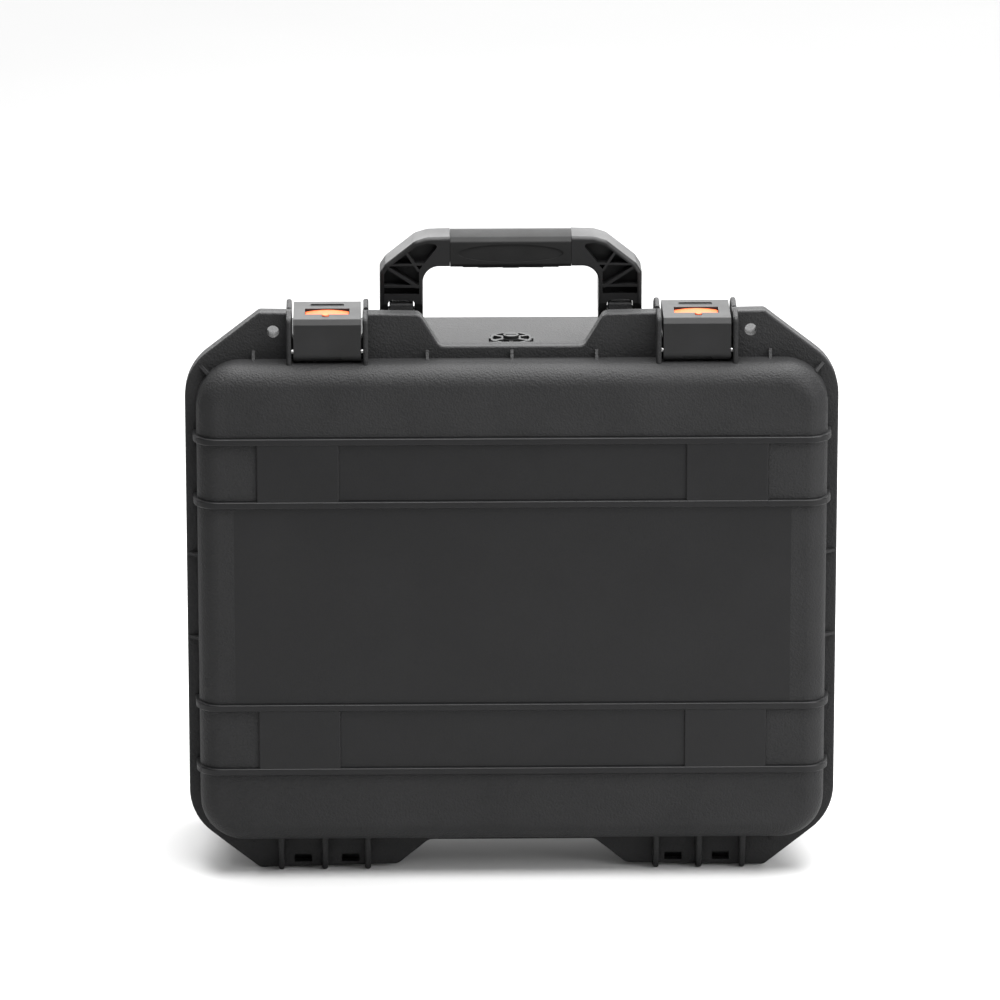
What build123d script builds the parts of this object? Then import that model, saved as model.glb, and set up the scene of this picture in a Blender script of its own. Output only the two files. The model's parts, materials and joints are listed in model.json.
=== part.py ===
"""Hard carrying case for a folding drone.

Millimetres, +Z up. The case stands on its hinge feet with the lid facing -Y.
The origin is on the ground, in the middle of the outer box.
"""

from build123d import *
import os

os.makedirs("parts", exist_ok=True)

# ---------------------------------------------------------------- driving dimensions
HALF_WIDTH = 180.0            # half of the width over the flange
Y_FRONT = -66.0               # front plane of the lid rails
Y_BACK = 66.0                 # back plane of the base rails
RAIL_PROUD = 2.0              # rails stand this far off the walls
LID_FLANGE_FRONT = -44.0
LID_FLANGE_BACK = -38.6
BASE_FLANGE_FRONT = -38.4
BASE_FLANGE_BACK = -33.0

BODY_HALF_W = 174.0           # tub and lid walls where they meet the flange
BODY_Z0 = 20.5
BODY_Z1 = 295.5
BODY_R = 25.0                 # corner radius of the lid's walls
TUB_R = 50.0                  # corner radius of the base's walls
BODY_H = BODY_Z1 - BODY_Z0
BODY_ZC = (BODY_Z0 + BODY_Z1) / 2
WALL = 3.2
LID_DRAFT = 2.5               # degrees
BASE_DRAFT = 1.5
EDGE_R = 12.0                 # soft edge round the front and the back faces

RAIL_Z = ((251.7, 255.6), (215.7, 219.6), (98.8, 102.8), (61.7, 65.7))
PAD_X0, PAD_X1 = 95.3, 140.7  # smooth pads between the rails
PAD_LOW = 0.5                 # pads sit this much lower than the rails

EAR_X_OUT, EAR_Z_OUT = 138.8, 321.6
EAR_X_IN, EAR_Z_IN = 50.6, 320.0
DIP_X, DIP_Z = 39.7, 302.0
NOTCH_X0, NOTCH_X1, NOTCH_Z = 82.0, 120.9, 306.0

HINGE_Y, HINGE_Z = -33.0, 6.2
HINGE_PIN_R = 1.5
KNUCKLE_R = 4.4
BASE_KNUCKLES = ((83.6, 96.9), (110.2, 123.4))
LID_KNUCKLES = ((72.0, 82.5), (98.0, 109.1), (124.5, 135.0))
FOOT_RIB_X = (80.6, 104.6, 128.9)
FOOT_RIB_W = 3.4

LATCH_X0, LATCH_X1 = 82.9, 119.9
LATCH_XC = (LATCH_X0 + LATCH_X1) / 2
LATCH_PIN_Y, LATCH_PIN_Z = -49.8, 301.0
LATCH_PIN_R = 1.2
LATCH_BARREL_R = 5.3
LATCH_FRONT, LATCH_BACK = -55.1, -15.0
LATCH_TOP = 320.9
LID_GUARD_X = ((79.0, 81.8), (121.1, 123.9))
BASE_GUARD_X = ((78.7, 81.6), (121.0, 123.9))

BUTTON_L, BUTTON_W = 24.4, 11.6         # slot in the latch's top
BUTTON_Y = -37.2
BUTTON_TRAVEL = 2.5

PADLOCK_X, PADLOCK_Z, PADLOCK_R = 131.2, 311.0, 3.4

HANDLE_Y0, HANDLE_Y1 = -11.0, 13.0
HANDLE_PIN_Y, HANDLE_PIN_Z = 1.0, 311.5
HANDLE_PIN_R = 2.0
LEG_X0, LEG_X1 = 48.6, 72.5
FORK_X0, FORK_X1 = 53.2, 67.9
FORK_Z = 320.0
TAB_X0, TAB_X1 = 54.0, 67.1
GRIP_HALF = 33.6              # the rubber grip ends here

VALVE_Y, VALVE_R = -15.5, 12.4


# ---------------------------------------------------------------- planes
def front_plane(y):
    """Local (x, z), facing -Y."""
    return Plane((0, y, 0), x_dir=(1, 0, 0), z_dir=(0, -1, 0))


def back_plane(y):
    """Local (-x, z), facing +Y."""
    return Plane((0, y, 0), x_dir=(-1, 0, 0), z_dir=(0, 1, 0))


def side_plane(x):
    """Local (y, z), facing +X."""
    return Plane((x, 0, 0), x_dir=(0, 1, 0), z_dir=(1, 0, 0))


RIGHT_OUTLINE = [
    (46.5, 16.4), (63.9, 2.2), (141.2, 0.6), (180.0, 31.5), (180.0, 289.7),
    (EAR_X_OUT, EAR_Z_OUT), (NOTCH_X1, 321.3), (NOTCH_X1, NOTCH_Z), (NOTCH_X0, NOTCH_Z),
    (NOTCH_X0, 320.6), (EAR_X_IN, EAR_Z_IN), (DIP_X, DIP_Z),
]
OUTLINE = RIGHT_OUTLINE + [(-x, z) for x, z in reversed(RIGHT_OUTLINE)]
CORNER_RADII = [(46.5, 16.4, 6.0), (63.9, 2.2, 6.0), (141.2, 0.6, 5.0), (180.0, 31.5, 32.0),
                (180.0, 289.7, 32.0), (EAR_X_OUT, EAR_Z_OUT, 3.0), (NOTCH_X1, NOTCH_Z, 2.0),
                (NOTCH_X0, NOTCH_Z, 2.0), (EAR_X_IN, EAR_Z_IN, 5.0), (DIP_X, DIP_Z, 5.0)]


# ---------------------------------------------------------------- lid
# closed block of the lid's bulge; the rails' block stands RAIL_PROUD further out
with BuildPart() as lid_bulge:
    with BuildSketch(front_plane(LID_FLANGE_FRONT)):
        with Locations((0, BODY_ZC)):
            RectangleRounded(2 * BODY_HALF_W, BODY_H, BODY_R)
    extrude(amount=LID_FLANGE_FRONT - Y_FRONT - RAIL_PROUD, taper=LID_DRAFT)
    fillet(lid_bulge.faces().sort_by(Axis.Y)[0].edges(), EDGE_R)

with BuildPart() as lid_rail_block:
    with BuildSketch(front_plane(LID_FLANGE_FRONT)):
        with Locations((0, BODY_ZC)):
            RectangleRounded(2 * (BODY_HALF_W + RAIL_PROUD), BODY_H + 2 * RAIL_PROUD, BODY_R + RAIL_PROUD)
    extrude(amount=LID_FLANGE_FRONT - Y_FRONT, taper=LID_DRAFT)
    fillet(lid_rail_block.faces().sort_by(Axis.Y)[0].edges(), EDGE_R + RAIL_PROUD)

with BuildPart() as lid_pad_block:
    with BuildSketch(front_plane(LID_FLANGE_FRONT)):
        with Locations((0, BODY_ZC)):
            RectangleRounded(2 * (BODY_HALF_W + 1.5), BODY_H + 3, BODY_R + 1.5)
    extrude(amount=LID_FLANGE_FRONT - Y_FRONT - PAD_LOW, taper=LID_DRAFT)
    fillet(lid_pad_block.faces().sort_by(Axis.Y)[0].edges(), EDGE_R + 1.5)

with BuildPart() as lid_rails:
    for z0, z1 in RAIL_Z:
        with BuildSketch(Plane.XY.offset(z0)):
            with Locations((0, -58)):
                Rectangle(400, 40)
        extrude(amount=z1 - z0)
    add(lid_rail_block.part, mode=Mode.INTERSECT)
    rail_edges = lid_rails.faces().filter_by(Axis.Z).edges().filter_by(
        lambda e: e.center().Y < LID_FLANGE_FRONT - 0.2)
    fillet(rail_edges, 0.9)

with BuildPart() as lid_pads:
    for z0, z1 in ((RAIL_Z[1][1] - 0.5, RAIL_Z[0][0] + 0.5), (RAIL_Z[3][1] - 0.5, RAIL_Z[2][0] + 0.5)):
        for s in (-1, 1):
            with BuildSketch(Plane.XY.offset(z0)):
                with Locations((s * (PAD_X0 + PAD_X1) / 2, -58)):
                    Rectangle(PAD_X1 - PAD_X0, 40)
            extrude(amount=z1 - z0)
    add(lid_pad_block.part, mode=Mode.INTERSECT)
    fillet(lid_pads.edges().filter_by(Axis.Z).group_by(Axis.Y)[0], 0.9)

with BuildPart() as lid_cavity:
    with BuildSketch(front_plane(LID_FLANGE_BACK + 1)):
        with Locations((0, BODY_ZC)):
            RectangleRounded(2 * (BODY_HALF_W - WALL), BODY_H - 2 * WALL, BODY_R - WALL)
    extrude(amount=LID_FLANGE_BACK + 1 - Y_FRONT - RAIL_PROUD - WALL, taper=LID_DRAFT)
    fillet(lid_cavity.faces().sort_by(Axis.Y)[0].edges(), 9.0)

with BuildPart() as lid_flange:
    with BuildSketch(front_plane(LID_FLANGE_BACK)) as lid_outline:
        with BuildLine():
            Polyline(*OUTLINE, close=True)
        make_face()
    extrude(amount=LID_FLANGE_BACK - LID_FLANGE_FRONT)
    for x, z, r in CORNER_RADII:
        fillet(lid_flange.edges().filter_by(Axis.Y).filter_by(
            lambda e, x=x, z=z: abs(abs(e.center().X) - x) < 0.05 and abs(e.center().Z - z) < 0.05), r)
    fillet(lid_flange.faces().sort_by(Axis.Y)[0].edges(), 1.1)

# small webs that stiffen the flange: (x, z) at the foot of each, and the outward direction
WEBS = [(0.0, 294.5, 0, 1), (46.5, 294.5, 0, 1), (142.0, 294.5, 0, 1), (167.3, 288.2, 0.72, 0.69),
        (173.5, 184.4, 1, 0), (173.5, 136.3, 1, 0), (164.9, 30.8, 0.72, -0.69), (145.0, 21.0, 0, -1)]

# guard ribs beside the latches, with round noses
with BuildPart() as lid_guards:
    for x0, x1 in LID_GUARD_X:
        for s in (1, -1):
            xa = x0 if s == 1 else -x1
            with BuildSketch(side_plane(xa)) as guard_side:
                with BuildLine():
                    Polyline((-44.5, 288.0), (-55.6, 288.0), (-55.6, 320.6),
                             (-42.0, 322.4), (-40.2, 321.0), (-40.2, 316.0), (-44.5, 316.0), close=True)
                make_face()
                fillet(guard_side.vertices().filter_by(lambda v: v.X < -55 and v.Y > 320), 3.0)
            extrude(amount=x1 - x0)
    fillet(lid_guards.edges().filter_by(
        lambda e: abs(e.bounding_box().size.X) < 0.01 and (e.center().Y < -52.5 or e.center().Z > 320.5)
        and e.center().Y < -41.5), 1.2)

# foot ribs: sloping round-nosed webs that the case stands on
with BuildPart() as lid_foot_ribs:
    for xc in FOOT_RIB_X:
        for s in (1, -1):
            with BuildSketch(side_plane(s * xc - FOOT_RIB_W / 2)) as rib_side:
                with BuildLine():
                    Polyline((-38.6, 0.0), (-46.6, 0.0), (-57.0, 26.0), (-50.0, 34.0),
                             (-43.0, 34.0), (-38.6, 20.0), close=True)
                make_face()
                fillet(rib_side.vertices().filter_by(lambda v: v.X < -46 and v.Y < 1), 2.0)
                fillet(rib_side.vertices().filter_by(lambda v: v.X < -56), 3.0)
            extrude(amount=FOOT_RIB_W)
    fillet(lid_foot_ribs.edges().filter_by(
        lambda e: abs(e.bounding_box().size.X) < 0.01 and e.center().Y < -46.0 and 0.3 < e.center().Z < 27), 1.3)

with BuildPart() as lid_shell:
    add(lid_bulge.part)
    add(lid_rails.part)
    add(lid_pads.part)
    add(lid_flange.part)
    # webs between the flange and the bulge
    for x, z, ux, uz in WEBS:
        for s in ((1,) if x == 0 else (1, -1)):
            u = Vector(s * ux, 0, uz)
            with BuildSketch(Plane((s * x, LID_FLANGE_FRONT, z), x_dir=u, z_dir=u.cross(Vector(0, -1, 0)))):
                with BuildLine():
                    Polyline((-3.0, -0.5), (6.2, -0.5), (5.2, 0.6), (0.0, 4.4), (-3.0, 4.4), close=True)
                make_face()
            extrude(amount=0.85, both=True)
    add(lid_guards.part)
    add(lid_foot_ribs.part)
    # hinge knuckles, reaching back from the foot plates
    for x0, x1 in LID_KNUCKLES:
        for s in (1, -1):
            xa = x0 if s == 1 else -x1
            with BuildSketch(side_plane(xa)):
                with Locations((HINGE_Y, HINGE_Z)):
                    Circle(KNUCKLE_R)
                with Locations(((HINGE_Y - 39.2) / 2, HINGE_Z)):
                    Rectangle(39.2 + HINGE_Y, 2 * KNUCKLE_R)
            extrude(amount=x1 - x0)
    add(lid_cavity.part, mode=Mode.SUBTRACT)
    # seal groove in the flange's back face
    with BuildSketch(front_plane(LID_FLANGE_BACK)):
        with Locations((0, BODY_ZC)):
            RectangleRounded(2 * (BODY_HALF_W + 2.6), BODY_H + 5.2, BODY_R + 2.6)
            RectangleRounded(2 * (BODY_HALF_W - 1.2), BODY_H - 2.4, BODY_R - 1.2, mode=Mode.SUBTRACT)
    extrude(amount=3.2, mode=Mode.SUBTRACT)
    # padlock holes
    with Locations(front_plane(LID_FLANGE_FRONT - 3)):
        with Locations((PADLOCK_X, PADLOCK_Z), (-PADLOCK_X, PADLOCK_Z)):
            Hole(PADLOCK_R, 20)
    # core-outs in front of the base's knuckles
    with BuildSketch(front_plane(LID_FLANGE_BACK + 0.5)):
        for x in (90.35, 116.85):
            for s in (1, -1):
                with Locations((s * x, 6.2)):
                    Rectangle(9.7, 4.6)
    extrude(amount=8, mode=Mode.SUBTRACT)
    # hinge pin bore and latch pin bores
    with Locations(side_plane(0)):
        with Locations((HINGE_Y, HINGE_Z)):
            Cylinder(HINGE_PIN_R + 0.06, 290, mode=Mode.SUBTRACT)
    for s in (1, -1):
        with Locations(side_plane(s * LATCH_XC)):
            with Locations((LATCH_PIN_Y, LATCH_PIN_Z)):
                Cylinder(LATCH_PIN_R + 0.01, 42.6, mode=Mode.SUBTRACT)
lid_shell.part.label = "lid_shell"

# ---------------------------------------------------------------- seal
with BuildPart() as lid_gasket:
    with BuildSketch(front_plane(LID_FLANGE_BACK)):
        with Locations((0, BODY_ZC)):
            RectangleRounded(2 * (BODY_HALF_W + 2.4), BODY_H + 4.8, BODY_R + 2.4)
            RectangleRounded(2 * (BODY_HALF_W - 1.0), BODY_H - 2.0, BODY_R - 1.0, mode=Mode.SUBTRACT)
    extrude(amount=3.1)
lid_gasket.part.label = "lid_gasket"

# ---------------------------------------------------------------- base
BASE_DEPTH = Y_BACK - RAIL_PROUD - BASE_FLANGE_BACK

with BuildPart() as base_tub:
    with BuildSketch(back_plane(BASE_FLANGE_BACK)):
        with Locations((0, BODY_ZC)):
            RectangleRounded(2 * BODY_HALF_W, BODY_H, TUB_R)
    extrude(amount=BASE_DEPTH, taper=BASE_DRAFT)
    fillet(base_tub.faces().sort_by(Axis.Y)[-1].edges(), EDGE_R)

with BuildPart() as base_rail_block:
    with BuildSketch(back_plane(BASE_FLANGE_BACK)):
        with Locations((0, BODY_ZC)):
            RectangleRounded(2 * (BODY_HALF_W + RAIL_PROUD), BODY_H + 2 * RAIL_PROUD, TUB_R + RAIL_PROUD)
    extrude(amount=BASE_DEPTH + RAIL_PROUD, taper=BASE_DRAFT)
    fillet(base_rail_block.faces().sort_by(Axis.Y)[-1].edges(), EDGE_R + RAIL_PROUD)

with BuildPart() as base_pad_block:
    with BuildSketch(back_plane(BASE_FLANGE_BACK)):
        with Locations((0, BODY_ZC)):
            RectangleRounded(2 * (BODY_HALF_W + 1.5), BODY_H + 3, TUB_R + 1.5)
    extrude(amount=BASE_DEPTH + 1.5, taper=BASE_DRAFT)
    fillet(base_pad_block.faces().sort_by(Axis.Y)[-1].edges(), EDGE_R + 1.5)

with BuildPart() as base_rails:
    for z0, z1 in RAIL_Z:
        with BuildSketch(Plane.XY.offset(z0)):
            with Locations((0, 20)):
                Rectangle(400, 120)
        extrude(amount=z1 - z0)
    add(base_rail_block.part, mode=Mode.INTERSECT)
    fillet(base_rails.faces().filter_by(Axis.Z).edges().filter_by(
        lambda e: e.center().Y > BASE_FLANGE_BACK + 0.2), 0.9)

with BuildPart() as base_pads:
    for z0, z1 in ((RAIL_Z[1][1] - 0.5, RAIL_Z[0][0] + 0.5), (RAIL_Z[3][1] - 0.5, RAIL_Z[2][0] + 0.5)):
        for s in (-1, 1):
            with BuildSketch(Plane.XY.offset(z0)):
                with Locations((s * (PAD_X0 + PAD_X1) / 2, 50)):
                    Rectangle(PAD_X1 - PAD_X0, 60)
            extrude(amount=z1 - z0)
    add(base_pad_block.part, mode=Mode.INTERSECT)
    fillet(base_pads.edges().filter_by(Axis.Z).group_by(Axis.Y)[-1], 0.9)

with BuildPart() as base_cavity:
    with BuildSketch(back_plane(BASE_FLANGE_FRONT - 1)):
        with Locations((0, BODY_ZC)):
            RectangleRounded(2 * (BODY_HALF_W - WALL), BODY_H - 2 * WALL, TUB_R - WALL)
    extrude(amount=Y_BACK - RAIL_PROUD - WALL - BASE_FLANGE_FRONT + 1, taper=BASE_DRAFT)
    fillet(base_cavity.faces().sort_by(Axis.Y)[-1].edges(), 9.0)

with BuildPart() as base_flange:
    with BuildSketch(back_plane(BASE_FLANGE_FRONT)):
        with BuildLine():
            Polyline(*OUTLINE, close=True)
        make_face()
    extrude(amount=BASE_FLANGE_BACK - BASE_FLANGE_FRONT)
    for x, z, r in CORNER_RADII:
        fillet(base_flange.edges().filter_by(Axis.Y).filter_by(
            lambda e, x=x, z=z: abs(abs(e.center().X) - x) < 0.05 and abs(e.center().Z - z) < 0.05), r)
    fillet(base_flange.faces().sort_by(Axis.Y)[-1].edges(), 1.1)
    # the hinge feet are the lid's below this height
    with BuildSketch(Plane.XY.offset(-1)):
        for s in (1, -1):
            with Locations((s * 106, -36)):
                Rectangle(112, 20)
    extrude(amount=13, mode=Mode.SUBTRACT)

with BuildPart() as base_shell:
    add(base_tub.part)
    add(base_rails.part)
    add(base_pads.part)
    add(base_flange.part)
    for x, z, ux, uz in WEBS[:6]:
        for s in ((1,) if x == 0 else (1, -1)):
            if x in (0.0,):
                continue
            u = Vector(s * ux, 0, uz)
            inset = 9.5 if 0 < ux < 1 else 0.0      # the tub's corners are rounder than the lid's
            with BuildSketch(Plane((s * (x - inset * ux), BASE_FLANGE_BACK, z - inset * uz), x_dir=u, z_dir=u.cross(Vector(0, 1, 0)))):
                with BuildLine():
                    Polyline((-3.0, -0.5), (6.2, -0.5), (5.2, 0.6), (0.0, 4.4), (-3.0, 4.4), close=True)
                make_face()
            extrude(amount=0.85, both=True)
    # hinge knuckles
    for x0, x1 in BASE_KNUCKLES:
        for s in (1, -1):
            xa = x0 if s == 1 else -x1
            with BuildSketch(side_plane(xa)):
                with Locations((HINGE_Y, HINGE_Z)):
                    Circle(KNUCKLE_R)
                with BuildLine():
                    Polyline((HINGE_Y - KNUCKLE_R, HINGE_Z), (HINGE_Y - KNUCKLE_R, 23.0), (-14.0, 23.0),
                             (HINGE_Y + KNUCKLE_R, HINGE_Z), close=True)
                make_face()
            extrude(amount=x1 - x0)
    # standing ribs under the tub
    for xc in FOOT_RIB_X:
        for s in (1, -1):
            with BuildSketch(side_plane(s * xc - FOOT_RIB_W / 2)) as skid:
                with BuildLine():
                    Polyline((-14.0, 24.0), (-8.0, 0.0), (48.0, 0.0), (54.0, 24.0), close=True)
                make_face()
                fillet(skid.vertices().filter_by(lambda v: v.Y < 1), 3.0)
            extrude(amount=FOOT_RIB_W)
    # purge valve boss
    with BuildSketch(Plane.XY.offset(292.5)):
        with Locations((0, VALVE_Y)):
            Circle(12.9)
    extrude(amount=3.7)
    add(base_cavity.part, mode=Mode.SUBTRACT)
    # padlock holes
    with Locations(back_plane(BASE_FLANGE_BACK + 3)):
        with Locations((PADLOCK_X, PADLOCK_Z), (-PADLOCK_X, PADLOCK_Z)):
            Hole(PADLOCK_R, 20)
    # hinge pin bores
    with Locations(side_plane(0)):
        with Locations((HINGE_Y, HINGE_Z)):
            Cylinder(HINGE_PIN_R + 0.01, 260, mode=Mode.SUBTRACT)
    # purge valve: bore and seal groove
    with Locations((0, VALVE_Y, 290)):
        Cylinder(6.0, 20, mode=Mode.SUBTRACT)
    with BuildSketch(Plane.XY.offset(296.2)):
        with Locations((0, VALVE_Y)):
            Circle(9.9)
            Circle(8.1, mode=Mode.SUBTRACT)
    extrude(amount=-1.0, mode=Mode.SUBTRACT)
base_shell.part.label = "base_shell"

# ---------------------------------------------------------------- fittings on top of the base
TOP_SLOPE = 0.02619           # draft of the base's top wall, rise per mm of depth


def on_top(y):
    """Height of a fitting's foot: just clear of the base's top wall."""
    return BODY_Z1 - TOP_SLOPE * (y - BASE_FLANGE_BACK) + 0.02


FIT_FRONT = BASE_FLANGE_BACK + 0.02

# guard ribs behind the latch, with rounded tops
with BuildPart() as keeper_ribs:
    for x0, x1 in BASE_GUARD_X:
        with BuildSketch(side_plane(x0)) as guard:
            with BuildLine():
                Polyline((FIT_FRONT, 296.0), (FIT_FRONT, 321.7), (-18.0, 322.8), (-11.0, 319.6),
                         (-6.0, 300.0), (-6.0, 296.0), close=True)
            make_face()
            fillet(guard.vertices().filter_by(lambda v: v.Y > 318 and v.X > -30), 3.0)
        extrude(amount=x1 - x0)
    fillet(keeper_ribs.edges().filter_by(
        lambda e: abs(e.bounding_box().size.X) < 0.01 and e.center().Z > 299 and e.center().Y > -32.5), 1.2)

with BuildPart() as latch_keeper_right:
    add(keeper_ribs.part)
    # foot plate
    with BuildSketch(side_plane(BASE_GUARD_X[0][0])):
        with BuildLine():
            Polyline((FIT_FRONT, on_top(FIT_FRONT)), (-6.0, on_top(-6.0)), (-6.0, 296.8), (FIT_FRONT, 297.2), close=True)
        make_face()
    extrude(amount=BASE_GUARD_X[1][1] - BASE_GUARD_X[0][0])
    # catch bar
    with BuildSketch(side_plane(LATCH_XC - 12.0)):
        with BuildLine():
            Polyline((-31.5, 296.0), (-28.8, 310.4), (-23.2, 310.4), (-22.6, 309.6), (-20.0, 296.0), close=True)
        make_face()
    extrude(amount=24.0)
latch_keeper_right.part.label = "latch_keeper_right"

with BuildPart() as handle_bracket_right:
    with BuildSketch(side_plane(TAB_X0)):
        with BuildLine():
            Polyline((-10.4, on_top(-10.4)), (-10.4, 317.0), (-9.0, 318.4), (1.0, 318.4), (5.6, 316.0),
                     (7.4, 311.5), (8.2, on_top(8.2)), close=True)
        make_face()
    extrude(amount=TAB_X1 - TAB_X0)
    with Locations(side_plane((TAB_X0 + TAB_X1) / 2)):
        with Locations((HANDLE_PIN_Y, HANDLE_PIN_Z)):
            Cylinder(HANDLE_PIN_R + 0.01, 20, mode=Mode.SUBTRACT)
handle_bracket_right.part.label = "handle_bracket_right"

# ---------------------------------------------------------------- pins
with BuildPart() as hinge_pin_right:
    with BuildSketch(side_plane(72.5)):
        with Locations((HINGE_Y, HINGE_Z)):
            Circle(HINGE_PIN_R)
    extrude(amount=62.0)
    chamfer(hinge_pin_right.edges(), 0.3)
hinge_pin_right.part.label = "hinge_pin_right"

with BuildPart() as latch_pin_right:
    with BuildSketch(side_plane(80.3)):
        with Locations((LATCH_PIN_Y, LATCH_PIN_Z)):
            Circle(LATCH_PIN_R)
    extrude(amount=42.2)
    chamfer(latch_pin_right.edges(), 0.2)
latch_pin_right.part.label = "latch_pin_right"

with BuildPart() as handle_pin_right:
    with BuildSketch(side_plane(LEG_X0 + 0.6)):
        with Locations((HANDLE_PIN_Y, HANDLE_PIN_Z)):
            Circle(HANDLE_PIN_R)
    extrude(amount=LEG_X1 - LEG_X0 - 1.2)
    chamfer(handle_pin_right.edges(), 0.3)
handle_pin_right.part.label = "handle_pin_right"

# ---------------------------------------------------------------- latch, right
with BuildPart() as latch_right:
    # side silhouette: front plate, bevel, top plate, hook end
    with BuildSketch(side_plane(LATCH_X0)) as latch_side:
        with BuildLine():
            Polyline((LATCH_FRONT, LATCH_PIN_Z), (LATCH_FRONT, 317.2), (-53.0, 320.2), (-17.0, LATCH_TOP),
                     (LATCH_BACK, 319.1), (LATCH_BACK, 311.8), (-20.0, 307.6),
                     (-43.6, 307.6), (-44.6, 305.5), (LATCH_PIN_Y + LATCH_BARREL_R, LATCH_PIN_Z), close=True)
        make_face()
        with Locations((LATCH_PIN_Y, LATCH_PIN_Z)):
            Circle(LATCH_BARREL_R)
    extrude(amount=LATCH_X1 - LATCH_X0)
    # soften the long outer edges
    fillet(latch_right.edges().filter_by(Axis.X).filter_by(
        lambda e: (abs(e.center().Y - LATCH_FRONT) < 0.1 and abs(e.center().Z - 317.2) < 0.1)
        or (abs(e.center().Y + 53.0) < 0.1 and abs(e.center().Z - 320.2) < 0.1)), 0.8)
    # hollow underneath, between the cheeks
    with BuildSketch(side_plane(LATCH_X0 + 2.4)):
        with BuildLine():
            Polyline((-51.8, 307.0), (-51.8, 316.9), (-18.3, 317.5), (-18.3, 314.0), (-21.6, 313.2),
                     (-21.6, 311.8), (-14.0, 311.8), (-14.0, 304.0), (-43.0, 304.0), (-43.0, 307.0), close=True)
        make_face()
    extrude(amount=LATCH_X1 - LATCH_X0 - 4.8, mode=Mode.SUBTRACT)
    # shelf that carries the button's spring
    with BuildSketch(Plane.XY.offset(307.6)):
        with Locations((LATCH_XC, BUTTON_Y)):
            Rectangle(LATCH_X1 - LATCH_X0 - 4.8 + 0.4, 9.0)
    extrude(amount=1.0)
    # slot for the button, with a thumb notch at its front
    with BuildSketch(Plane.XY.offset(312.0)):
        with Locations((LATCH_XC, BUTTON_Y)):
            Rectangle(BUTTON_L, BUTTON_W)
        with Locations((LATCH_XC + 0.9, BUTTON_Y - BUTTON_W / 2 - 1.9)):
            Rectangle(3.9, 5.4)
    extrude(amount=10, mode=Mode.SUBTRACT)
    # shallow recessed field behind the button
    with BuildSketch(Plane((0, 0, 320.15), x_dir=(1, 0, 0), z_dir=(0, 0, 1))):
        with Locations((LATCH_XC, -24.6)):
            RectangleRounded(18.4, 5.6, 0.8)
    extrude(amount=3, mode=Mode.SUBTRACT)
    # finger notch under the front edge
    with BuildSketch(front_plane(-52.6)):
        with Locations((LATCH_XC, 297.9)):
            Rectangle(15.6, 1.6)
    extrude(amount=6, mode=Mode.SUBTRACT)
    # pin bore
    with Locations(side_plane(LATCH_XC)):
        with Locations((LATCH_PIN_Y, LATCH_PIN_Z)):
            Cylinder(LATCH_PIN_R + 0.05, 50, mode=Mode.SUBTRACT)
latch_right.part.label = "latch_right"

with BuildPart() as latch_button_right:
    # crowned bar seen in the slot
    with BuildSketch(front_plane(BUTTON_Y + BUTTON_W / 2 - 0.25)):
        with BuildLine():
            Line((LATCH_XC - 11.95, 313.4), (LATCH_XC + 11.95, 313.4))
            Line((LATCH_XC + 11.95, 313.4), (LATCH_XC + 11.95, 318.9))
            ThreePointArc((LATCH_XC + 11.95, 318.9), (LATCH_XC, 320.0), (LATCH_XC - 11.95, 318.9))
            Line((LATCH_XC - 11.95, 318.9), (LATCH_XC - 11.95, 313.4))
        make_face()
    extrude(amount=BUTTON_W - 0.5)
    # retaining flange under the latch's top plate
    with BuildSketch(Plane.XY.offset(313.4)):
        with Locations((LATCH_XC, BUTTON_Y)):
            Rectangle(27.0, BUTTON_W - 0.5)
    extrude(amount=2.2)
    # thumb nub
    with BuildSketch(Plane.XY.offset(315.6)):
        with Locations((LATCH_XC + 0.9, BUTTON_Y - BUTTON_W / 2 - 1.1)):
            RectangleRounded(3.3, 6.0, 1.5)
    extrude(amount=5.2)
latch_button_right.part.label = "latch_button_right"

with BuildPart() as button_spring_right:
    with BuildLine(Plane((LATCH_XC, BUTTON_Y, 309.0))) as coil:
        Helix(pitch=1.0, height=4.0, radius=2.6)
    with BuildSketch(Plane(coil.line @ 0, z_dir=coil.line % 0)):
        Circle(0.36)
    sweep(is_frenet=True)
button_spring_right.part.label = "button_spring_right"

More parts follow.
